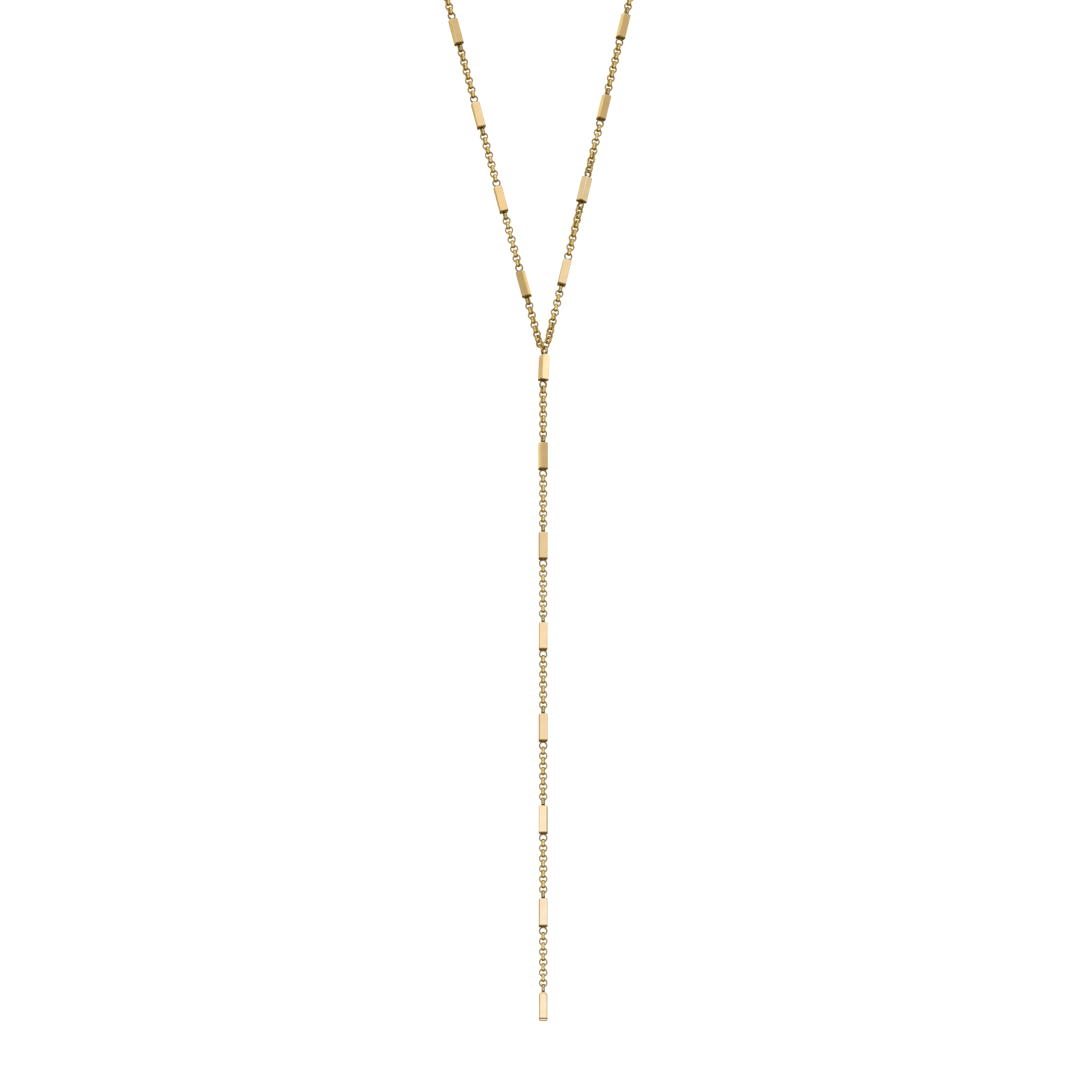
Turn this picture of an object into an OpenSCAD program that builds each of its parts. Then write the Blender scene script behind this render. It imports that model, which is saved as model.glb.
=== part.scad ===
// Y necklace: a loop of round-link chain set with square bars, and a straight drop of the same
// chain and bars that hangs from the point of the V. Every bar is square, with a round ring
// soldered on each end, and the two rings of a bar stand at right angles to each other. Two
// bars differ: the first and the last one of the drop have arched tops, the first one with a
// larger ring on it, turned to face the two strands, and the last one ends without a ring.
// Millimetres, +Z up, the front towards -Y. The origin is the middle of the back of the loop,
// where the necklace rests on the nape of the neck.

/* [Chain link] */
// Outer diameter of a round link
link_d = 2; // [1.9:0.05:2.4]
// Thickness of a link's strap, from its inner face to its outer face
link_t = 0.28; // [0.24:0.01:0.3]
// Width of a link's strap, along the axis of the link
link_w = 0.8; // [0.6:0.05:0.85]
// Clearance between two links that hang in each other
link_gap = 0.16; // [0.15:0.01:0.18]

/* [Bar] */
// Side of a bar's square section
bar_w = 2; // [1.6:0.1:2.6]
// Length of a bar without its rings
bar_l = 6.8; // [5:0.2:9]
// Cut along a bar's four long edges
bar_edge = 0.1; // [0.05:0.05:0.3]
// Cut around the edges of a bar's ends
bar_end = 0.15; // [0.05:0.05:0.3]
// Radius of the arched tops of the drop's first and last bars
bar_arch = 0.9; // [0.2:0.1:1]
// Depth to which a soldered ring is sunk into the end that carries it
ring_sink = 0.06; // [0.04:0.01:0.12]

/* [Junction] */
// Diameter of the hole in the ring that takes both strands
joint_hole_d = 1.7; // [1.6:0.05:1.9]
// Width of that ring's strap
joint_w = 0.7; // [0.5:0.05:0.8]
// Depth to which that ring is sunk into the top of the first bar
joint_sink = 0.2; // [0.06:0.02:0.24]
// Width of the strap of the last link of each strand, which hangs in that ring
last_link_w = 0.52; // [0.4:0.04:0.56]
// Lean of the first bar of the drop
first_bar_lean = 2.2; // [0:0.2:4]

/* [Necklace] */
// Free links between two bars
links_between = 10; // [8:2:14]
// Free links from the junction to the left strand's first bar, the last one narrower
left_links = 10; // [8:2:14]
// Free links from the junction to the right strand's first bar, the last one narrower
right_links = 12; // [8:2:14]
// Bars on each side of the loop
side_bars = 13; // [12:1:14]
// Bars on the drop
drop_bars = 8; // [2:1:8]
// Stretches of each side, up from its first bar, that have their links modelled one by one
open_stretches = 5; // [1:1:5]

/* [Clasp] */
// Length of the clasp's barrel
clasp_l = 8; // [6:0.5:12]
// Largest diameter of the barrel
clasp_d = 3; // [2.6:0.1:4]
// Diameter of the barrel's flat ends
clasp_end_d = 1.6; // [1.4:0.1:2]

/* [Hidden] */
// Shape of one side of the loop, which is scaled until it holds the chain's true length:
// the junction, the top of the straight strand, the height of the first handle above that,
// the second handle and the nape. The left side is shown, and the right side mirrors it.
route_junction = [2, -98, -190];
route_top = [-40, -92.5, -30];
route_rise = 30;
route_back = [-86, 0, 0];
route_nape = [0, 0, 0];

// Roll of each bar about its own line, in degrees, up from the junction. A positive roll
// turns the front face to the right. Bars past the end of a list have the rest roll.
left_rolls = [-28, -1, 1, 11, 5];
right_rolls = [0, 37, 102, 102, 95];
left_rest = 0;
right_rest = 90;
// Roll of the junction's ring
joint_roll = -64;
// Turn from a link of the drop to the next one, until the next bar's roll is reached, and
// the least such turn above the junction, from the ring's roll to that of the first bar
link_twist = 8;
// Roll of each bar of the drop, from the top down
drop_rolls = [-68, 7, 0, -5, -1, -14, -3, -8];

link_sides = 40;
tube_sides = 8;
route_steps = 40;

link_r = link_d / 2;
hole_r = link_r - link_t;
bevel = 0.45 * link_t;
flat = 0.32;
joint_hole_r = joint_hole_d / 2;
ring_reach = link_r - ring_sink;
joint_reach = joint_hole_r + link_t - joint_sink;
bar_pitch = bar_l + 2 * ring_reach;

// Distance between the centres of two rings that hang in each other at right angles: the
// hole of radius r2 holds the corners of the strap of width w1 with the clearance
function seat(r1, w1, r2, w2) =
  sqrt(pow(r1 + bevel, 2) - pow(flat * w2 / 2, 2))
  + sqrt(pow(r2 - link_gap, 2) - pow(w1 / 2, 2));
function reach(r1, w1, r2, w2) = min(seat(r1, w1, r2, w2), seat(r2, w2, r1, w1));

link_pitch = reach(hole_r, link_w, hole_r, link_w);
joint_pitch = reach(joint_hole_r, joint_w, hole_r, last_link_w);
last_pitch = reach(hole_r, last_link_w, hole_r, link_w);
gap_pitch = (links_between + 1) * link_pitch;
station_pitch = bar_pitch + gap_pitch;

// The two last links lie side by side in the junction's ring, with the clearance between
// them, and the left one takes the larger share of the angle
last_depth = joint_pitch - link_r + bevel;
last_half = last_link_w / 2;
last_spread = 2 * (atan2(last_half, last_depth)
  + asin(link_gap / 2 / norm([last_depth, last_half])));
left_share = 0.6;

clasp_pitch = clasp_l + 2 * ring_reach;
left_len = (left_links - 1) * link_pitch + side_bars * station_pitch;
right_len = (right_links - 1) * link_pitch + side_bars * station_pitch;
loop_len = left_len + clasp_pitch + right_len;

function unit(v) = v / norm(v);
function mirror_x(p) = [-p[0], p[1], p[2]];
function top_point(side) = side == "left" ? route_top : mirror_x(route_top);
function back_point(side) = side == "left" ? route_back : mirror_x(route_back);

// The junction's ring stands upright, with its axis turned by the roll. The last link of
// each strand rises from it at its own angle, and turns the next link towards the strand.
joint_axis = [-sin(joint_roll), cos(joint_roll), 0];
function last_angle(side) =
  last_spread * (side == "left" ? -left_share : 1 - left_share);
function last_rise(side) =
  let (a = last_angle(side))
  [sin(a) * cos(joint_roll), sin(a) * sin(joint_roll), cos(a)];
function strand_rise(side) = unit(top_point(side) - route_junction);
function foot_rise(side) =
  let (e = last_rise(side), t = strand_rise(side))
  unit((e * t) * e + (joint_axis * t) * joint_axis);

// Where the strand starts beside the junction
function foot(side, k) =
  k * route_junction + joint_pitch * last_rise(side) + last_pitch * foot_rise(side);

function bezier(p, t) =
  pow(1 - t, 3) * p[0] + 3 * pow(1 - t, 2) * t * p[1]
  + 3 * (1 - t) * t * t * p[2] + pow(t, 3) * p[3];

// One side of the loop as points from its foot to the nape, at the scale k
function side_points(side, k) =
  let (start = foot(side, k),
       top = k * top_point(side),
       rise = k * route_rise * unit(top - start),
       curve = [top, top + rise, k * back_point(side), k * route_nape])
  [start, for (i = [0:route_steps]) bezier(curve, i / route_steps)];
function whole_route(k) =
  let (down = side_points("right", k))
  concat(side_points("left", k), [for (i = [route_steps:-1:0]) down[i]]);

function running_length(p) =
  [for (i = 0, s = 0; i < len(p);
        s = i + 1 < len(p) ? s + norm(p[i + 1] - p[i]) : s, i = i + 1) s];
function route_length(k) =
  let (s = running_length(whole_route(k))) s[len(s) - 1];
function fitted_scale(k, tries) =
  tries == 0 ? k : fitted_scale(k * loop_len / route_length(k), tries - 1);

route_scale = fitted_scale(1, 5);
junction = route_scale * route_junction;
route = whole_route(route_scale);
route_s = running_length(route);
route_x = [for (i = [0:len(route) - 1]) [route_s[i], route[i][0]]];
route_y = [for (i = [0:len(route) - 1]) [route_s[i], route[i][1]]];
route_z = [for (i = [0:len(route) - 1]) [route_s[i], route[i][2]]];

function along(s) = [lookup(s, route_x), lookup(s, route_y), lookup(s, route_z)];

// Distance along the loop of a point d up from the foot of one side
function place(side, d) = side == "left" ? d : loop_len - d;
function rising(side, d) =
  let (step = 0.5, s = place(side, d), t = along(s + step) - along(s - step))
  unit(side == "left" ? t : -t);

// The strand faces the front up to the shoulder, and then turns over to face upwards
function facing(side, d) =
  let (front_len = norm(route_scale * (route_top - route_junction)),
       turn = min(1, max(0, (d - front_len) / (0.5 * (loop_len / 2 - front_len)))))
  [0, turn - 1, turn];

// Position and axes of the strand: Z runs up the strand and Y points away from its front
function frame(side, d) =
  let (z = rising(side, d),
       f = facing(side, d),
       y = -unit(f - (f * z) * z),
       x = cross(y, z),
       p = along(place(side, d)))
  [[x[0], y[0], z[0], p[0]],
   [x[1], y[1], z[1], p[1]],
   [x[2], y[2], z[2], p[2]],
   [0, 0, 0, 1]];

module on_strand(side, d, roll) {
  multmatrix(frame(side, d)) rotate([0, 0, roll]) children();
}

// A ring that faces the front, with its strap bevelled to the inside and the outside
module ring(inner, w) {
  outer = inner + link_t;
  rotate([90, 0, 0])
    rotate_extrude($fn = link_sides)
      polygon([
        [inner, -flat * w / 2],
        [inner + bevel, -w / 2],
        [outer - bevel, -w / 2],
        [outer, -flat * w / 2],
        [outer, flat * w / 2],
        [outer - bevel, w / 2],
        [inner + bevel, w / 2],
        [inner, flat * w / 2],
      ]);
}

module link() {
  ring(hole_r, link_w);
}

module cut_square(side, cut) {
  h = side / 2;
  polygon([
    [-h, -h + cut], [-h + cut, -h], [h - cut, -h], [h, -h + cut],
    [h, h - cut], [h - cut, h], [-h + cut, h], [-h, h - cut],
  ]);
}

module cut_oblong(w, l, cut) {
  a = w / 2;
  b = l / 2;
  polygon([
    [-a, -b + cut], [-a + cut, -b], [a - cut, -b], [a, -b + cut],
    [a, b - cut], [a - cut, b], [-a + cut, b], [-a, b - cut],
  ]);
}

module arched_oblong(w, l, cut, r) {
  a = w / 2;
  b = l / 2;
  polygon(concat(
    [[-a, -b + cut], [-a + cut, -b], [a - cut, -b], [a, -b + cut]],
    [for (t = [0:15:90]) [a - r + r * cos(t), b - r + r * sin(t)]],
    [for (t = [90:15:180]) [-a + r + r * cos(t), b - r + r * sin(t)]]
  ));
}

// A square bar about its own middle, with its long edges and its ends cut back. An arched
// one has its top rounded across X.
module bar_body(arched = false) {
  intersection() {
    linear_extrude(height = bar_l, center = true) cut_square(bar_w, bar_edge);
    rotate([90, 0, 0])
      linear_extrude(height = bar_w + 1, center = true)
        if (arched) arched_oblong(bar_w, bar_l, bar_end, min(bar_arch, bar_w / 2 - 0.1));
        else cut_oblong(bar_w, bar_l, bar_end);
    rotate([90, 0, 90])
      linear_extrude(height = bar_w + 1, center = true) cut_oblong(bar_w, bar_l, bar_end);
  }
}

// A bar with its two rings: the one on top faces the front where top_turn is 0
module station(top_turn) {
  union() {
    bar_body();
    translate([0, 0, bar_l / 2 + ring_reach]) rotate([0, 0, top_turn]) link();
    translate([0, 0, -bar_l / 2 - ring_reach]) rotate([0, 0, top_turn + 90]) link();
  }
}

// Distance of a side's bars, rings and links up from the foot of the strand
function first_ring(side) = ((side == "left" ? left_links : right_links) - 1) * link_pitch;
function bar_low(side, i) = first_ring(side) + (i - 1) * station_pitch;
function bar_roll(side, i) =
  let (rolls = side == "left" ? left_rolls : right_rolls)
  i <= len(rolls) ? rolls[i - 1] : side == "left" ? left_rest : right_rest;
// Roll of the first link above a strand's last one, which follows from the turn between them
function foot_roll(side) =
  let (e = last_rise(side),
       t = strand_rise(side),
       m = unit((e * t) * joint_axis - (joint_axis * t) * e),
       f = frame(side, 0))
  atan2(-m * [f[0][0], f[1][0], f[2][0]], m * [f[0][1], f[1][1], f[2][1]]);

module side_bar(side, i) {
  color("gold")
    on_strand(side, bar_low(side, i) + bar_pitch / 2, bar_roll(side, i)) station(0);
}

// The links from the foot of a strand to its first bar
module foot_links(side) {
  n = side == "left" ? left_links : right_links;
  start = foot_roll(side);
  turn = bar_roll(side, 1) - start;
  for (j = [0:n - 2]) {
    turned = min(abs(turn), j * max(link_twist, abs(turn) / (n - 1)));
    on_strand(side, j * link_pitch, start + sign(turn) * turned + 90 * j) link();
  }
}

// The links of the stretch above bar i
module stretch_links(side, i) {
  low = bar_low(side, i) + bar_pitch;
  for (j = [1:links_between]) {
    roll = bar_roll(side, i) + (bar_roll(side, i + 1) - bar_roll(side, i)) * j / (links_between + 1);
    on_strand(side, low + j * link_pitch, roll + 90 * j) link();
  }
}

// The narrower last link of a strand, which lies in the junction's ring
module last_link(side) {
  translate(junction)
    rotate([0, 0, joint_roll])
      rotate([0, last_angle(side), 0])
        translate([0, 0, joint_pitch])
          rotate([0, 0, 90]) ring(hole_r, last_link_w);
}

module front_chain(side) {
  color("gold") {
    last_link(side);
    foot_links(side);
    for (i = [1:open_stretches]) stretch_links(side, i);
  }
}

// A stretch of the chain behind the neck as one tube of the chain's outer diameter, from
// ring to ring, swept along the route
function tube_ring(side, d) =
  let (m = frame(side, d))
  [for (k = [0:tube_sides - 1])
    let (a = 360 * k / tube_sides, q = m * [link_r * cos(a), link_r * sin(a), 0, 1])
    [q[0], q[1], q[2]]];

module tube(side, low, high) {
  rings = ceil((high - low) / (2 * link_d)) + 1;
  points = [for (r = [0:rings - 1]) each tube_ring(side, low + (high - low) * r / (rings - 1))];
  walls = [for (r = [0:rings - 2], k = [0:tube_sides - 1])
    let (a = r * tube_sides + k, b = r * tube_sides + (k + 1) % tube_sides)
    [a, a + tube_sides, b + tube_sides, b]];
  low_cap = [for (k = [0:tube_sides - 1]) k];
  high_cap = [for (k = [tube_sides - 1:-1:0]) (rings - 1) * tube_sides + k];
  polyhedron(points = points, faces = concat(walls, [low_cap, high_cap]), convexity = 4);
}

module back_chain() {
  color("gold")
    for (side = ["left", "right"], i = [open_stretches + 1:side_bars]) {
      low = bar_low(side, i) + bar_pitch + link_r + link_gap;
      tube(side, low, low + gap_pitch - 2 * (link_r + link_gap));
    }
}

// A plain barrel clasp, shut, with a soldered ring on each end
module clasp() {
  h = clasp_l / 2;
  color("gold")
    on_strand("left", left_len + clasp_pitch / 2, 0) {
      rotate_extrude($fn = 48)
        polygon([
          [0, -h],
          [clasp_end_d / 2, -h],
          [clasp_d / 2, -h / 2],
          [clasp_d / 2, h / 2],
          [clasp_end_d / 2, h],
          [0, h],
        ]);
      translate([0, 0, h + ring_reach]) rotate([0, 0, right_rest - 90]) link();
      translate([0, 0, -h - ring_reach]) rotate([0, 0, left_rest - 90]) link();
    }
}

// The first bar of the drop hangs from its larger ring, and leans a little
first_drop = joint_reach + bar_l + ring_reach;
drop_line = junction - first_drop * [sin(first_bar_lean), 0, cos(first_bar_lean)];

function drop_ring(i) = -gap_pitch - (i - 2) * station_pitch;

module drop_bar(i) {
  color("gold")
    if (i == 1) {
      translate(junction)
        union() {
          rotate([0, 0, joint_roll]) ring(joint_hole_r, joint_w);
          rotate([0, first_bar_lean, 0]) {
            translate([0, 0, -joint_reach - bar_l / 2])
              rotate([0, 0, drop_rolls[0] + 90]) bar_body(arched = true);
            translate([0, 0, -first_drop]) rotate([0, 0, drop_rolls[0] + 90]) link();
          }
        }
    } else if (i < drop_bars) {
      translate(drop_line + [0, 0, drop_ring(i) - bar_pitch / 2])
        rotate([0, 0, drop_rolls[i - 1]]) station(90);
    } else {
      translate(drop_line + [0, 0, drop_ring(i) - ring_reach - bar_l / 2])
        rotate([0, 0, drop_rolls[i - 1]])
          union() {
            bar_body(arched = true);
            translate([0, 0, bar_l / 2 + ring_reach]) rotate([0, 0, 90]) link();
          }
    }
}

module drop_chain() {
  color("gold")
    for (i = [2:drop_bars], j = [1:links_between]) {
      start = i == 2 ? drop_rolls[0] + 90 : drop_rolls[i - 2];
      turn = drop_rolls[i - 1] - start;
      roll = start + sign(turn) * min(abs(turn), j * link_twist);
      translate(drop_line + [0, 0, drop_ring(i) + gap_pitch - j * link_pitch])
        rotate([0, 0, roll + 90 * j]) link();
    }
}

front_chain("left");  // left_chain
front_chain("right");  // right_chain
drop_chain();
back_chain();
clasp();
for (i = [1:drop_bars]) {
  drop_bar(i);
}
for (i = [1:side_bars]) {
  side_bar("left", i);
  side_bar("right", i);
}
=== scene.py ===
import math

import bpy
from mathutils import Matrix, Vector


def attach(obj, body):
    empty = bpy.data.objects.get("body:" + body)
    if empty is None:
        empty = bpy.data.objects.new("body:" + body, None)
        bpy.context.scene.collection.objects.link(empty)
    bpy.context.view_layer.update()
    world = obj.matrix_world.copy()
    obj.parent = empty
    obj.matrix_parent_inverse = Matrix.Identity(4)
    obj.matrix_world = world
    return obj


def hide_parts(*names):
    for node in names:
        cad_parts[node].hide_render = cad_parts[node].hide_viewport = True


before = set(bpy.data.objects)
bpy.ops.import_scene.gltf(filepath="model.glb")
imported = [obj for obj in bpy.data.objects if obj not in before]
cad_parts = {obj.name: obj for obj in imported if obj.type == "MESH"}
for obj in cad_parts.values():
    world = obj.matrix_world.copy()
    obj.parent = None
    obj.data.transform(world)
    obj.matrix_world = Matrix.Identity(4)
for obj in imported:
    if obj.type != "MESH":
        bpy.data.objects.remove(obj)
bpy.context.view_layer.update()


# Chain of the two strands, from the junction ring up to the sixth bar of each side. Each link is
# a ring of flattened brass wire, bent round, closed, soldered and gold plated. It hangs loosely
# in the next one and stands square to it. Sizes are in millimetres, as in the part's source.
MM = 0.001
LINK_R = 1.0
LINK_T = 0.28
LINK_W = 0.8
HOLE_R = LINK_R - LINK_T
LAST_W = 0.52
LINK_GAP = 0.16
BEVEL = 0.45 * LINK_T
FLAT = 0.32
LINKS_BETWEEN = 10
FOOT_LINKS = {"left": 10, "right": 12}
OPEN_STRETCHES = 5

# The wire is drawn rounder than the solids' strap, and 0.05 mm proud of it inside and out
WIRE_T = 0.38
SECTION_STEPS = 16
RING_STEPS = 36


def linear(hex_colour):
    rgb = [int(hex_colour[i:i + 2], 16) / 255 for i in (0, 2, 4)]
    return [c / 12.92 if c <= 0.04045 else ((c + 0.055) / 1.055) ** 2.4 for c in rgb] + [1.0]


def add(tree, kind, links=(), values=(), **settings):
    """Add a node, set its properties, give sockets their values and link its inputs."""
    node = tree.nodes.new(kind)
    for name, value in settings.items():
        setattr(node, name, value)
    for socket, value in values:
        node.inputs[socket].default_value = value
    for socket, source in links:
        tree.links.new(source, node.inputs[socket])
    return node


# Gold plating over brass. The plating is a thin skin that takes the polish of the metal under
# it: a pale warm mirror, clouded a little over spots about as wide as a link. A strap's edges and
# its inner face are painted darker than its outer face: painted shade along the edges, and painted
# half shade inside, where the next links hang.
PLATING_GLANCE = "F0DCA8"
EDGE_PAINTED_SHADE = "BEA866"
INNER_PAINTED_SHADE = "CCA856"
EDGE_SHADE_FROM, EDGE_SHADE_FULL = 0.12, 0.31
INNER_SHADE_FROM, INNER_SHADE_FULL = 0.66, 0.95
CLOUD_MM = 1.6
CLOUD_BAND = (0.3, 0.7)
GRAIN_DETAIL = 2.0
GRAIN_ROUGHNESS = 0.55
GLOSS_SPREAD = (0.8, 1.25)
LINE_DEPTH_MM = 0.01


def plated_gold(name, colour, shade, roughness, line_mm, drawn_out, lift):
    """Plating from shade to colour, with lines line_mm apart, drawn out that much along Z."""
    material = bpy.data.materials.new(name)
    material.use_nodes = True
    tree = material.node_tree
    shader = tree.nodes["Principled BSDF"]
    shader.inputs["Metallic"].default_value = 1.0
    shader.inputs["Specular Tint"].default_value = linear(PLATING_GLANCE)
    place = add(tree, "ShaderNodeTexCoord").outputs["Object"]
    drawn = add(tree, "ShaderNodeMapping", [("Vector", place)],
                [("Scale", (1, 1, 1 / drawn_out))])
    lines = add(tree, "ShaderNodeTexNoise", [("Vector", drawn.outputs["Vector"])],
                [("Scale", 1 / (line_mm * MM)), ("Detail", GRAIN_DETAIL),
                 ("Roughness", GRAIN_ROUGHNESS)])
    cloud = add(tree, "ShaderNodeTexNoise", [("Vector", place)],
                [("Scale", 1 / (CLOUD_MM * MM)), ("Detail", GRAIN_DETAIL)])
    tone = add(tree, "ShaderNodeValToRGB", [("Fac", cloud.outputs["Fac"])])
    for stop, position, hue in zip(tone.color_ramp.elements, CLOUD_BAND, (shade, colour)):
        stop.position = position
        stop.color = linear(hue)
    # Painted shade: each point is mixed toward the darker edge and inner tones by how far inward
    # it lies on the strap.
    strap = add(tree, "ShaderNodeAttribute", attribute_name="inward")
    toned = tone.outputs["Color"]
    for start, full, hue in ((EDGE_SHADE_FROM, EDGE_SHADE_FULL, EDGE_PAINTED_SHADE),
                             (INNER_SHADE_FROM, INNER_SHADE_FULL, INNER_PAINTED_SHADE)):
        share = add(tree, "ShaderNodeMapRange", [("Value", strap.outputs["Fac"])],
                    [("From Min", start), ("From Max", full)], interpolation_type="SMOOTHSTEP")
        mixed = add(tree, "ShaderNodeMix", [(0, share.outputs["Result"]), (6, toned)],
                    [(7, linear(hue))], data_type="RGBA")
        toned = mixed.outputs[2]
    gloss = add(tree, "ShaderNodeMapRange", [("Value", lines.outputs["Fac"])],
                [("To Min", roughness * GLOSS_SPREAD[0]), ("To Max", roughness * GLOSS_SPREAD[1])])
    bump = add(tree, "ShaderNodeBump", [("Height", lines.outputs["Fac"])],
               [("Strength", lift), ("Distance", LINE_DEPTH_MM * MM)])
    tree.links.new(toned, shader.inputs["Base Color"])
    tree.links.new(gloss.outputs["Result"], shader.inputs["Roughness"])
    tree.links.new(bump.outputs["Normal"], shader.inputs["Normal"])
    return material


# Gold-plated brass, tumbled with steel shot: bright, with tiny marks in every direction that
# soften its reflections. Real ones lie about 0.02 mm apart and are too fine to show, so they are
# drawn 0.12 mm apart.
TUMBLE_MM = 0.12
chain_gold = plated_gold("gold plated brass, tumble polished", "E0C47A", "D2B060",
                         roughness=0.14, line_mm=TUMBLE_MM, drawn_out=1, lift=0.04)


def add_ring(verts, faces, at, inner=HOLE_R, w=LINK_W, deeper=0.0):
    """Add a ring with its axis along Y to the mesh lists, put at the matrix at.

    Each point is kept with its share of the way from the strap's outer to its inner face, which
    sets how much painted shade it gets; deeper is the share that the outer face starts from.
    """
    base = len(verts)
    outer = inner + LINK_T / 2 + WIRE_T / 2
    for i in range(RING_STEPS):
        a = 2 * math.pi * i / RING_STEPS
        for j in range(SECTION_STEPS):
            b = 2 * math.pi * (j + 0.5) / SECTION_STEPS
            r = inner + LINK_T / 2 + WIRE_T / 2 * math.cos(b)
            point = at @ Vector((r * math.cos(a), w / 2 * math.sin(b), r * math.sin(a)))
            verts.append((point, deeper + (1 - deeper) * (outer - r) / WIRE_T))
    for i in range(RING_STEPS):
        low = base + i * SECTION_STEPS
        high = base + (i + 1) % RING_STEPS * SECTION_STEPS
        for j in range(SECTION_STEPS):
            k = (j + 1) % SECTION_STEPS
            faces.append((low + j, low + k, high + k, high + j))


def smooth_mesh(name, verts, faces):
    """A smooth mesh of points in millimetres, each with the share of painted shade that goes with
    it.
    """
    mesh = bpy.data.meshes.new(name)
    mesh.from_pydata([point * MM for point, _ in verts], [], faces)
    shares = mesh.attributes.new("inward", "FLOAT", "POINT")
    shares.data.foreach_set("value", [share for _, share in verts])
    mesh.update()
    mesh.shade_smooth()
    return mesh


def dress(name, mesh, material, node):
    """Make a piece of a mesh, ride it on the necklace and let it stand for a CAD node."""
    piece = bpy.data.objects.new(name, mesh)
    bpy.context.scene.collection.objects.link(piece)
    piece.data.materials.append(material)
    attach(piece, "root")
    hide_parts(node)
    return piece


# How far apart the middles of two crossed links hang, with the gap between their straps
def seat(r1, w1, r2, w2):
    return (math.sqrt((r1 + BEVEL) ** 2 - (FLAT * w2 / 2) ** 2)
            + math.sqrt((r2 - LINK_GAP) ** 2 - (w1 / 2) ** 2))


def reach(r1, w1, r2, w2):
    return min(seat(r1, w1, r2, w2), seat(r2, w2, r1, w1))


# The length of the loop: links, bars with a ring sunk into each end, and the clasp
RING_SINK = 0.06
RING_REACH = LINK_R - RING_SINK
BAR_L = 6.8
CLASP_L = 8.0
SIDE_BARS = 13
JOINT_HOLE_R = 0.85
JOINT_W = 0.7
LINK_PITCH = reach(HOLE_R, LINK_W, HOLE_R, LINK_W)
JOINT_PITCH = reach(JOINT_HOLE_R, JOINT_W, HOLE_R, LAST_W)
LAST_PITCH = reach(HOLE_R, LAST_W, HOLE_R, LINK_W)
GAP_PITCH = (LINKS_BETWEEN + 1) * LINK_PITCH
BAR_PITCH = BAR_L + 2 * RING_REACH
STATION_PITCH = BAR_PITCH + GAP_PITCH
CLASP_PITCH = CLASP_L + 2 * RING_REACH
side_len = {s: (FOOT_LINKS[s] - 1) * LINK_PITCH + SIDE_BARS * STATION_PITCH for s in FOOT_LINKS}
LOOP_LEN = side_len["left"] + CLASP_PITCH + side_len["right"]

# The last link of each strand leans out in the junction ring, just clear of the other one
JOINT_ROLL = -64
LEFT_SHARE = 0.6
joint_turn = math.radians(JOINT_ROLL)
JOINT_AXIS = Vector((-math.sin(joint_turn), math.cos(joint_turn), 0))
last_depth = JOINT_PITCH - LINK_R + BEVEL
last_spread = 2 * (math.atan2(LAST_W / 2, last_depth)
                   + math.asin(LINK_GAP / 2 / math.hypot(last_depth, LAST_W / 2)))
LAST_ANGLE = {"left": -LEFT_SHARE * last_spread, "right": (1 - LEFT_SHARE) * last_spread}

# The way of the loop at first size: straight up the V, then one curve a side to the nape
ROUTE_JUNCTION = Vector((2, -98, -190))
ROUTE_TOP = {"left": Vector((-40, -92.5, -30)), "right": Vector((40, -92.5, -30))}
ROUTE_RISE = 30
ROUTE_BACK = {"left": Vector((-86, 0, 0)), "right": Vector((86, 0, 0))}
ROUTE_NAPE = Vector((0, 0, 0))
ROUTE_STEPS = 40
FIT_ROUNDS = 6
FIT_WITHIN = 1e-6


def last_rise(side):
    a = LAST_ANGLE[side]
    return Vector((math.sin(a) * math.cos(joint_turn), math.sin(a) * math.sin(joint_turn),
                   math.cos(a)))


def strand_rise(side):
    return (ROUTE_TOP[side] - ROUTE_JUNCTION).normalized()


def foot(side, k):
    """The middle of a strand's first full link, with the route at k times its first size."""
    e, t = last_rise(side), strand_rise(side)
    rise = (e.dot(t) * e + JOINT_AXIS.dot(t) * JOINT_AXIS).normalized()
    return k * ROUTE_JUNCTION + JOINT_PITCH * e + LAST_PITCH * rise


def bezier(p, t):
    return ((1 - t) ** 3 * p[0] + 3 * (1 - t) ** 2 * t * p[1]
            + 3 * (1 - t) * t * t * p[2] + t ** 3 * p[3])


def side_points(side, k):
    start, top = foot(side, k), k * ROUTE_TOP[side]
    curve = [top, top + k * ROUTE_RISE * (top - start).normalized(),
             k * ROUTE_BACK[side], k * ROUTE_NAPE]
    return [start] + [bezier(curve, i / ROUTE_STEPS) for i in range(ROUTE_STEPS + 1)]


def running_length(points):
    total = [0.0]
    for a, b in zip(points, points[1:]):
        total.append(total[-1] + (b - a).length)
    return total


# The route grows or shrinks until it is as long as the loop's chain
route_scale = 1.0
for _ in range(FIT_ROUNDS):
    route = side_points("left", route_scale) + side_points("right", route_scale)[-2::-1]
    route_s = running_length(route)
    if abs(route_s[-1] - LOOP_LEN) > FIT_WITHIN:
        route_scale *= LOOP_LEN / route_s[-1]
junction = route_scale * ROUTE_JUNCTION
front_len = route_scale * (ROUTE_TOP["left"] - ROUTE_JUNCTION).length

# How far each bar is turned about its own line, in degrees, as the chain happened to lie
ROLLS = {"left": [-28, -1, 1, 11, 5], "right": [0, 37, 102, 102, 95]}
REST_ROLL = {"left": 0, "right": 90}
LINK_TWIST = 8
CHORD_HALF = 0.5
TURNED_OVER_BY = 0.5


def along(s):
    s = min(max(s, 0.0), route_s[-1])
    i = max(j for j in range(len(route) - 1) if route_s[j] <= s)
    return route[i].lerp(route[i + 1], (s - route_s[i]) / (route_s[i + 1] - route_s[i]))


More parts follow.
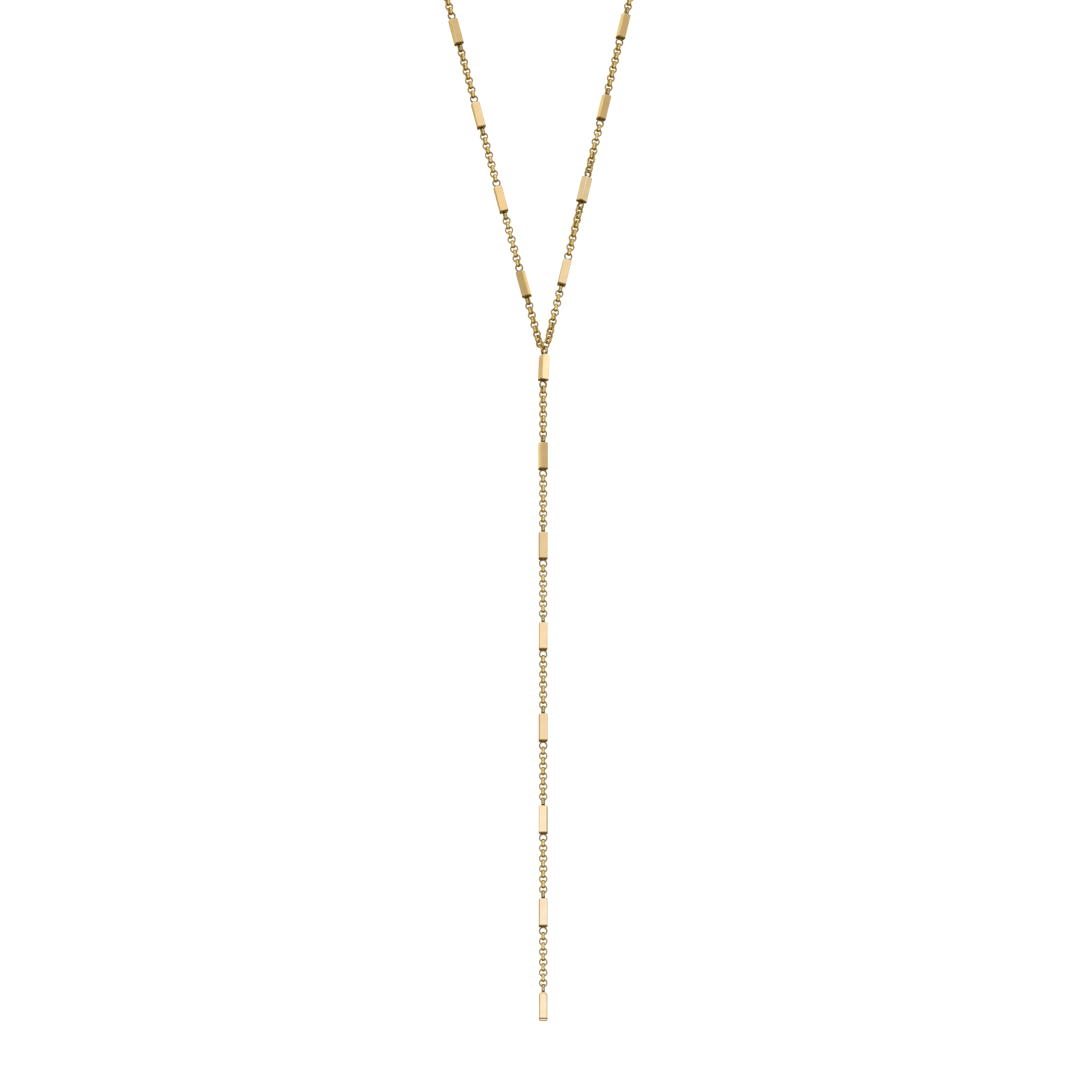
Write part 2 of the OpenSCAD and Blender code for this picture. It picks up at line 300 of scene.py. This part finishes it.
def strand(side, d, roll=0.0):
    """Where a piece sits d up one strand: Z along the strand, Y away from its front.

    The front faces forward up the V, and turns to face up by half way from there to the nape.
    """
    s = d if side == "left" else LOOP_LEN - d
    z = (along(s + CHORD_HALF) - along(s - CHORD_HALF)).normalized()
    if side == "right":
        z = -z
    over_len = TURNED_OVER_BY * (LOOP_LEN / 2 - front_len)
    over = min(1.0, max(0.0, (d - front_len) / over_len))
    facing = Vector((0, over - 1, over))
    y = -(facing - facing.dot(z) * z).normalized()
    x = y.cross(z)
    axes = Matrix((x, y, z)).transposed().to_4x4()
    return Matrix.Translation(along(s)) @ axes @ Matrix.Rotation(math.radians(roll), 4, "Z")


def bar_low(side, i):
    return (FOOT_LINKS[side] - 1) * LINK_PITCH + (i - 1) * STATION_PITCH


def bar_roll(side, i):
    return ROLLS[side][i - 1] if i <= len(ROLLS[side]) else REST_ROLL[side]


def stretch(side, i):
    """Places of the links above bar i of a side, turned little by little to the next bar."""
    low = bar_low(side, i) + BAR_PITCH
    a, b = bar_roll(side, i), bar_roll(side, i + 1)
    for j in range(1, LINKS_BETWEEN + 1):
        share = j / (LINKS_BETWEEN + 1)
        yield strand(side, low + j * LINK_PITCH, a + (b - a) * share + 90 * j)


def last_link_at(side):
    return (Matrix.Translation(junction) @ Matrix.Rotation(joint_turn, 4, "Z")
            @ Matrix.Rotation(LAST_ANGLE[side], 4, "Y")
            @ Matrix.Translation((0, 0, JOINT_PITCH)) @ Matrix.Rotation(math.pi / 2, 4, "Z"))


def foot_roll(side):
    """The roll of a strand's first full link, square to the last link that it hangs in."""
    e, t = last_rise(side), strand_rise(side)
    m = (e.dot(t) * JOINT_AXIS - JOINT_AXIS.dot(t) * e).normalized()
    f = strand(side, 0).to_3x3()
    return math.degrees(math.atan2(-m.dot(f.col[0]), m.dot(f.col[1])))


for side in ("left", "right"):
    verts, faces = [], []
    add_ring(verts, faces, last_link_at(side), HOLE_R, LAST_W)
    count, start = FOOT_LINKS[side], foot_roll(side)
    change = bar_roll(side, 1) - start
    for j in range(count - 1):
        turned = min(abs(change), j * max(LINK_TWIST, abs(change) / (count - 1)))
        roll = start + math.copysign(turned, change) + 90 * j
        add_ring(verts, faces, strand(side, j * LINK_PITCH, roll))
    for i in range(1, OPEN_STRETCHES + 1):
        for at in stretch(side, i):
            add_ring(verts, faces, at)
    name = f"{side}_strand_links"
    dress(name, smooth_mesh(name, verts, faces), chain_gold, f"{side}_chain")


# Chain over the shoulders and behind the neck: more of the same links, ten between two bars.
# It stands for the plain tubes of the source, which run from ring to ring.
verts, faces = [], []
for side in ("left", "right"):
    for i in range(OPEN_STRETCHES + 1, SIDE_BARS + 1):
        for at in stretch(side, i):
            add_ring(verts, faces, at)
dress("neck_links", smooth_mesh("neck_links", verts, faces), chain_gold,
      "back_chain")


# Chain of the drop: the same links, ten between two bars. It hangs plumb from the first bar,
# which leans a little to one side.
DROP_BARS = 8
DROP_ROLLS = [-68, 7, 0, -5, -1, -14, -3, -8]
FIRST_BAR_LEAN = 2.2
JOINT_SINK = 0.2
JOINT_REACH = JOINT_HOLE_R + LINK_T - JOINT_SINK
lean = math.radians(FIRST_BAR_LEAN)
first_drop = JOINT_REACH + BAR_L + RING_REACH
drop_line = junction - first_drop * Vector((math.sin(lean), 0, math.cos(lean)))


def drop_ring(i):
    return -GAP_PITCH - (i - 2) * STATION_PITCH


verts, faces = [], []
for i in range(2, DROP_BARS + 1):
    # The first bar's lower ring stands as its front does, and those of the others square to it
    a, b = DROP_ROLLS[i - 2] + (90 if i == 2 else 0), DROP_ROLLS[i - 1]
    for j in range(1, LINKS_BETWEEN + 1):
        roll = a + math.copysign(min(abs(b - a), j * LINK_TWIST), b - a) + 90 * j
        down = Vector((0, 0, drop_ring(i) + GAP_PITCH - j * LINK_PITCH))
        add_ring(verts, faces, Matrix.Translation(drop_line + down)
                 @ Matrix.Rotation(math.radians(roll), 4, "Z"))
dress("drop_links", smooth_mesh("drop_links", verts, faces), chain_gold,
      "drop_chain")


# Square bars of the loop, thirteen a side. Each is a length of square brass rod, cut off, lapped
# flat on its four sides, softened along its edges, plated, and soldered to a link on each end,
# with the two links set crosswise.
BAR_W = 2.0
BAR_EDGE = 0.18
END_ROUND = 0.24
CORNER_STEPS = 4
CORNER_ROUNDER = 0.8
END_STEPS = 5
ARCH_STEPS = 12

# Rings on a bar are a little deeper in tone than free links. Large faces count in full for the
# normals, so that flats read flat.
RING_DEEPER = 0.22
FLATS_FIRST = 100

# Gold-plated brass, lapped: flat faces that mirror a whole card of the tent at once, paler than
# the chain, with fine lines along the bar. Real lapping lines are about 0.01 mm apart, and are
# drawn 0.25 mm apart to show. Each end has a brown, duller band: painted shade of the end seen
# from below, over the solder's own brown; the soldered links are painted a little brown too.
LAPPING_MM = 0.25
SOLDER_AND_SHADE_BROWN = "6C5219"
SOLDER_AND_SHADE_GLANCE = "A88C3A"
SOLDER_DULLER = 0.15
HALF_BAR = BAR_L / 2


def lapped_gold(name, low_stops, top_stops):
    """Lapped plating with brown ends: painted shade, over the solder's own brown.

    The stops of the lower and the top end give a height from that end of the bar, in
    millimetres, and how much of the painted brown is there.
    """
    material = plated_gold(name, "F3D9A6", "EFD29B", roughness=0.10, line_mm=LAPPING_MM,
                           drawn_out=20, lift=0.02)
    tree = material.node_tree
    shader = tree.nodes["Principled BSDF"]
    bright = shader.inputs["Base Color"].links[0].from_socket
    gloss = shader.inputs["Roughness"].links[0].from_socket
    solder_and_shade_stops = ([(z - HALF_BAR, brown) for z, brown in low_stops]
                + [(z + HALF_BAR, brown) for z, brown in top_stops])
    far = solder_and_shade_stops[-1][0]
    place = add(tree, "ShaderNodeTexCoord")
    height = add(tree, "ShaderNodeSeparateXYZ", [("Vector", place.outputs["Object"])])
    along_z = add(tree, "ShaderNodeMapRange", [("Value", height.outputs["Z"])],
                  [("From Min", -far * MM), ("From Max", far * MM)])
    # Painted shade at both ends, over the solder's own brown: how much of the brown, duller end
    # each height gets.
    solder_and_shade = add(tree, "ShaderNodeValToRGB", [("Fac", along_z.outputs["Result"])])
    stops = solder_and_shade.color_ramp.elements
    while len(stops) < len(solder_and_shade_stops):
        stops.new(0.5)
    for stop, (z, brown) in zip(stops, solder_and_shade_stops):
        stop.position = (z + far) / (2 * far)
        stop.color = (brown, brown, brown, 1)
    solder_and_shade_colour = add(tree, "ShaderNodeMix", [(0, solder_and_shade.outputs["Color"]), (6, bright)],
                  [(7, linear(SOLDER_AND_SHADE_BROWN))], data_type="RGBA")
    glance = add(tree, "ShaderNodeMix", [(0, solder_and_shade.outputs["Color"])],
                 [(6, linear(PLATING_GLANCE)), (7, linear(SOLDER_AND_SHADE_GLANCE))], data_type="RGBA")
    duller = add(tree, "ShaderNodeMath", [(0, solder_and_shade.outputs["Color"]), (2, gloss)],
                 [(1, SOLDER_DULLER)], operation="MULTIPLY_ADD")
    tree.links.new(solder_and_shade_colour.outputs[2], shader.inputs["Base Color"])
    tree.links.new(glance.outputs[2], shader.inputs["Specular Tint"])
    tree.links.new(duller.outputs["Value"], shader.inputs["Roughness"])
    return material


bar_gold = lapped_gold("gold plated brass, lapped and polished",
                       [(-2, 0.25), (-0.4, 0.25), (-0.15, 0.5), (0, 0.5), (0.08, 1), (0.3, 1),
                        (0.56, 0)],
                       [(-0.16, 0), (-0.02, 0.5), (0, 0.8), (0.2, 0.8), (0.4, 0.25), (2, 0.25)])


def bar_row(inset_x, inset_y, z, edge, outline, on_edge):
    """The bar's outline at one height, drawn in from its sides, with corners of radius edge.

    outline is the share of painted edge shade that the points on an edge are given.
    """
    side_x, side_y = BAR_W / 2 - inset_x, BAR_W / 2 - inset_y
    r = min(side_x, side_y, max(edge, CORNER_ROUNDER * min(inset_x, inset_y)))
    row = []
    for corner in range(4):
        mid = math.radians(45 + 90 * corner)
        cx = math.copysign(side_x - r, math.cos(mid))
        cy = math.copysign(side_y - r, math.sin(mid))
        for i in range(CORNER_STEPS + 1):
            a = math.radians(90 * corner + 90 * i / CORNER_STEPS)
            point = Vector((cx + r * math.cos(a), cy + r * math.sin(a), z))
            row.append((point, outline if on_edge or 0 < i < CORNER_STEPS else 0.0))
    return row


def rounding(r, depth):
    """How far a quarter round of radius r draws in at a depth below the bar's end."""
    return r - math.sqrt(r * r - (r - depth) ** 2) if depth < r else 0.0


def quarter_depths(r, steps):
    return [r * (1 - math.cos(math.pi / 2 * i / steps)) for i in range(steps + 1)]


def bar_mesh(name, rings, arch=0.0, edge=BAR_EDGE, outline=0.0):
    """A bar about its own middle, with rings given as (place, hole radius, width, deeper).

    arch is the radius that rounds two sides of its top, and outline the share of painted edge
    shade along its edges above the rounding of its lower end, a painted dark outline.
    """
    depths = quarter_depths(END_ROUND, END_STEPS)
    top_depths = {*depths, *quarter_depths(arch, ARCH_STEPS)} if arch else depths
    rows = [(rounding(END_ROUND, d), rounding(END_ROUND, d), d - HALF_BAR) for d in depths]
    rows += [(max(rounding(END_ROUND, d), rounding(arch, d)), rounding(END_ROUND, d),
              HALF_BAR - d) for d in sorted(top_depths, reverse=True)]
    verts, faces = [], []
    for inset_x, inset_y, z in rows:
        drawn = outline if z > END_ROUND - HALF_BAR else 0.0
        verts += bar_row(inset_x, inset_y, z, edge, drawn, 0 < inset_y < END_ROUND)
    n = len(verts) // len(rows)
    for row in range(len(rows) - 1):
        for i in range(n):
            low, k = row * n, (i + 1) % n
            faces.append((low + i, low + k, low + n + k, low + n + i))
    faces.append(tuple(range(n - 1, -1, -1)))
    faces.append(tuple(range(len(verts) - n, len(verts))))
    for at, inner, w, deeper in rings:
        add_ring(verts, faces, at, inner, w, deeper)
    return smooth_mesh(name, verts, faces)


def end_ring(end, roll):
    """A link soldered to the top (1) or the lower (-1) end of a bar, turned by roll."""
    at = Matrix.Translation((0, 0, end * (HALF_BAR + RING_REACH)))
    return at @ Matrix.Rotation(math.radians(roll), 4, "Z"), HOLE_R, LINK_W, RING_DEEPER


def seat_piece(piece, at):
    piece.matrix_world = Matrix.Translation(at.to_translation() * MM) @ at.to_3x3().to_4x4()


def place_bar(name, mesh, at, node, material=bar_gold):
    piece = dress(name, mesh, material, node)
    seat_piece(piece, at)
    flatten = piece.modifiers.new("flat faces", "WEIGHTED_NORMAL")
    flatten.weight = FLATS_FIRST
    flatten.keep_sharp = True


side_mesh = bar_mesh("loop_bar", [end_ring(1, 0), end_ring(-1, 90)])
for side in ("left", "right"):
    for i in range(1, SIDE_BARS + 1):
        at = strand(side, bar_low(side, i) + BAR_PITCH / 2, bar_roll(side, i))
        place_bar(f"{side}_side_bar_{i}", side_mesh.copy(), at, f"{side}_bar_{i}")


# Square bars of the drop, from the same rod. The first has an arched top with the junction ring,
# which takes both strands. The last is arched too and has no ring below, so its lower end shows
# its cut face, and only a thin line of painted shade above it.
ARCH = 0.96
LAST_EDGE = 0.3
# The last bar's edges get this share of the painted edge shade, a painted dark outline.
LAST_PAINTED_OUTLINE = 0.25

# The junction ring's strap is as wide as the photograph shows it, and 0.1 mm wider on each side
# than in the source, where it leaves room for the last links
JOINT_STRAP = 0.9

# Plated as the others are. The last bar's lower band is painted shade only, a thin line a little
# above its cut end.
end_gold = lapped_gold("gold plated brass, lapped and polished, free end",
                       [(-2, 0), (0.34, 0), (0.42, 1), (0.6, 1), (0.74, 0)],
                       [(-0.02, 0), (0, 0.35), (0.1, 0.35), (0.3, 0.25), (2, 0.25)])

drop_mesh = bar_mesh("drop_bar", [end_ring(1, 90), end_ring(-1, 0)])
end_mesh = bar_mesh("end_bar", [end_ring(1, 90)], ARCH, LAST_EDGE, LAST_PAINTED_OUTLINE)
at = (Matrix.Translation(junction) @ Matrix.Rotation(lean, 4, "Y")
      @ Matrix.Translation((0, 0, -JOINT_REACH - HALF_BAR))
      @ Matrix.Rotation(math.radians(DROP_ROLLS[0] + 90), 4, "Z"))
upright = Matrix.Translation(junction) @ Matrix.Rotation(joint_turn, 4, "Z")
joint_mesh = bar_mesh("joint_bar", [(at.inverted() @ upright, JOINT_HOLE_R, JOINT_STRAP, 0),
                                    end_ring(-1, 0)], ARCH)
place_bar("junction_bar", joint_mesh, at, "drop_bar_1")
for i in range(2, DROP_BARS + 1):
    down = Vector((0, 0, drop_ring(i) - BAR_PITCH / 2))
    at = (Matrix.Translation(drop_line + down)
          @ Matrix.Rotation(math.radians(DROP_ROLLS[i - 1]), 4, "Z"))
    last = i == DROP_BARS
    place_bar(f"drop_hanging_bar_{i}", end_mesh if last else drop_mesh.copy(), at,
              f"drop_bar_{i}", end_gold if last else bar_gold)


# Clasp, out of the photograph's frame: a plain shut barrel, turned from brass rod, tapered
# to both ends, soldered to a link on each and plated with the chain. Its profile is given from
# one end to the middle, as radius and distance from the middle.
HALF_BARREL = [(0.688, 4), (0.8, 3.84), (1.08, 3.2), (1.424, 2.32), (1.5, 2)]
BARREL_STEPS = 48
barrel = [(r, -h) for r, h in HALF_BARREL] + HALF_BARREL[::-1]
verts, faces = [], []
for r, h in barrel:
    for i in range(BARREL_STEPS):
        a = 2 * math.pi * i / BARREL_STEPS
        verts.append((Vector((r * math.cos(a), r * math.sin(a), h)), 0))
for row in range(len(barrel) - 1):
    low, high = row * BARREL_STEPS, (row + 1) * BARREL_STEPS
    for i in range(BARREL_STEPS):
        k = (i + 1) % BARREL_STEPS
        faces.append((low + i, low + k, high + k, high + i))
faces.append(tuple(range(BARREL_STEPS - 1, -1, -1)))
faces.append(tuple(range(len(verts) - BARREL_STEPS, len(verts))))
for end, roll in ((-1, 90), (1, 0)):
    add_ring(verts, faces, Matrix.Translation((0, 0, end * (CLASP_L / 2 + RING_REACH)))
             @ Matrix.Rotation(math.radians(roll), 4, "Z"))
clasp = dress("barrel_clasp", smooth_mesh("barrel_clasp", verts, faces), chain_gold,
              "clasp")
seat_piece(clasp, strand("left", side_len["left"] + CLASP_PITCH / 2))


# Studio floor: a sheet of matt white paper, far below the drop. The metal doesn't mirror it, and
# has the tent's dark table below it instead.
FLOOR_HALF = 0.45
FLOOR_Z = -0.62
PAPER_ROUGHNESS = 0.9
corners = [(-1, -1), (1, -1), (1, 1), (-1, 1)]
floor_mesh = bpy.data.meshes.new("floor")
floor_mesh.from_pydata([(x * FLOOR_HALF, y * FLOOR_HALF, FLOOR_Z) for x, y in corners],
                       [], [(0, 1, 2, 3)])
floor = bpy.data.objects.new("floor", floor_mesh)
bpy.context.scene.collection.objects.link(floor)
paper = bpy.data.materials.new("white paper floor")
paper.use_nodes = True
sheet = paper.node_tree.nodes["Principled BSDF"]
sheet.inputs["Base Color"].default_value = linear("F4F4F2")
sheet.inputs["Roughness"].default_value = PAPER_ROUGHNESS
floor_mesh.materials.append(paper)
floor.visible_glossy = False


# Camera: a long lens in front of the chest, a little to the left and below, looking up. The
# photograph is 1080 pixels square, and its scale is the one at the distance of the aim.
CAMERA_YAW = 8.465
CAMERA_RISE = 12.104
CAMERA_DISTANCE = 1.051
CAMERA_AIM = Vector((1.02, -98, -238.43)) * MM
PHOTO_SIDE = 1080
PHOTO_PIXELS_PER_MM = 4.1463
SENSOR = 36
NEAREST = 0.01
scene = bpy.context.scene
scene.view_settings.view_transform = "Standard"
camera_data = bpy.data.cameras.new("camera")
camera = bpy.data.objects.new("camera", camera_data)
scene.collection.objects.link(camera)
yaw, rise = math.radians(CAMERA_YAW), math.radians(CAMERA_RISE)
forward = Vector((math.sin(yaw) * math.cos(rise), math.cos(yaw) * math.cos(rise),
                  math.sin(rise)))
camera.location = CAMERA_AIM - CAMERA_DISTANCE * forward
camera.rotation_euler = forward.to_track_quat("-Z", "Y").to_euler()
camera_data.sensor_width = SENSOR
camera_data.lens = SENSOR * PHOTO_PIXELS_PER_MM * CAMERA_DISTANCE / MM / PHOTO_SIDE
camera_data.clip_start = NEAREST
scene.camera = camera


# Light tent for polished metal: white cloth all round, broken by warm grey gaps beside the
# camera and a dark table below, so that flat polished faces read apart. Only reflections see
# its cards; matt things and the background see plain white.
TENT_WHITE = 1.1
BASE = (0.74, 0.73, 0.66)

# Each card: its azimuth from the camera, to the right, and half its width; its lowest and
# highest elevation; the fade around it, all in degrees; and its linear red, green and blue light
CARDS = [
    (0, 180, -95, -76, 7, (0.06, 0.055, 0.04)),
    (180, 130, -62, -24, 6, (0.28, 0.25, 0.16)),
    (0, 180, 62, 95, 12, (1.05, 1.05, 1.02)),
    (180, 145, 42, 54, 4, (0.42, 0.40, 0.30)),
    (0, 45, -56, -18, 8, (1.25, 1.36, 2.00)),
    (0, 32, 28, 64, 8, (1.30, 1.45, 2.00)),
    (0, 24, -10, 22, 5, (0.98, 0.98, 1.06)),
    (14, 2, 15, 22, 2, (1.04, 0.95, 0.88)),
    (17, 3, 9, 13, 2, (0.88, 0.84, 0.84)),
    (4, 5, 9, 12, 1.5, (1.10, 1.08, 1.18)),
    (14, 5, 8.3, 10.5, 1, (1.04, 1.02, 1.14)),
    (0, 13, 2, 7, 2, (1.12, 1.26, 1.78)),
    (-8, 9, 2, 10.5, 3, (1.12, 1.20, 1.56)),
    (37, 12, -14, 11, 4, (0.63, 0.59, 0.49)),
    (41, 8, 10, 18, 4, (0.60, 0.55, 0.44)),
    (40, 7, 22, 32, 4, (0.74, 0.70, 0.58)),
    (-41, 8, -14, 18, 5, (0.56, 0.52, 0.38)),
    (100, 28, 3, 24, 3, (0.42, 0.39, 0.27)),
    (-100, 28, 3, 24, 3, (0.42, 0.39, 0.27)),
    (88, 6, -4, 9, 2, (0.84, 0.85, 0.90)),
    (-90, 8, 28, 42, 4, (0.84, 0.85, 0.90)),
    (72, 5, -5, 26, 3, (1.30, 1.30, 1.36)),
    (60, 5, -5, 30, 3, (1.20, 1.24, 1.38)),
    (-120, 7, 0, 24, 4, (0.74, 0.68, 0.56)),
    (141, 10, 6, 40, 4, (1.10, 1.14, 1.25)),
    (-141, 11, 12.5, 40, 2.5, (1.02, 1.06, 1.15)),
    (167, 12, 2, 38, 4, (0.30, 0.29, 0.20)),
    (-169, 12, 2, 38, 4, (0.62, 0.61, 0.50)),
]


def toward(azimuth):
    a = math.radians(CAMERA_YAW - azimuth)
    return (-math.sin(a), -math.cos(a), 0)


def inside(tree, value, middle, half, fade):
    """1 where value is within half of the middle, 0 past the fade; in degrees."""
    off = add(tree, "ShaderNodeMath", [(0, value)], [(1, math.radians(middle))],
              operation="SUBTRACT")
    far = add(tree, "ShaderNodeMath", [(0, off.outputs["Value"])], operation="ABSOLUTE")
    step = add(tree, "ShaderNodeMapRange", [("Value", far.outputs["Value"])],
               [("From Min", math.radians(half)), ("From Max", math.radians(half + fade)),
                ("To Min", 1), ("To Max", 0)], interpolation_type="SMOOTHSTEP")
    return step.outputs["Result"]


world = bpy.data.worlds.new("light tent")
scene.world = world
world.use_nodes = True
tree = world.node_tree
tree.nodes.clear()
look = add(tree, "ShaderNodeTexCoord").outputs["Generated"]
axes = add(tree, "ShaderNodeSeparateXYZ", [("Vector", look)])
elevation = add(tree, "ShaderNodeMath", [(0, axes.outputs["Z"])], operation="ARCSINE")
tent = None
for azimuth, half_width, low, high, fade, colour in CARDS:
    across = [add(tree, "ShaderNodeVectorMath", [(0, look)], [(1, way)], operation="DOT_PRODUCT")
              for way in (toward(azimuth + 90), toward(azimuth))]
    around = add(tree, "ShaderNodeMath", [(0, across[0].outputs["Value"]),
                                          (1, across[1].outputs["Value"])], operation="ARCTAN2")
    wide = inside(tree, around.outputs["Value"], 0, half_width, fade)
    tall = inside(tree, elevation.outputs["Value"], (low + high) / 2, (high - low) / 2, fade)
    card = add(tree, "ShaderNodeMath", [(0, wide), (1, tall)], operation="MULTIPLY")
    hung = add(tree, "ShaderNodeMix", [(0, card.outputs["Value"])],
               [(6, (*BASE, 1)), (7, (*colour, 1))], data_type="RGBA")
    if tent:
        tree.links.new(tent, hung.inputs[6])
    tent = hung.outputs[2]
lit = add(tree, "ShaderNodeBackground", [("Color", tent)])
white = add(tree, "ShaderNodeBackground", values=[("Color", (1, 1, 1, 1)),
                                                  ("Strength", TENT_WHITE)])
path = add(tree, "ShaderNodeLightPath")
seen = add(tree, "ShaderNodeMixShader", [(0, path.outputs["Is Glossy Ray"]),
                                         (1, white.outputs[0]), (2, lit.outputs[0])])
add(tree, "ShaderNodeOutputWorld", [("Surface", seen.outputs[0])])

bpy.context.view_layer.update()
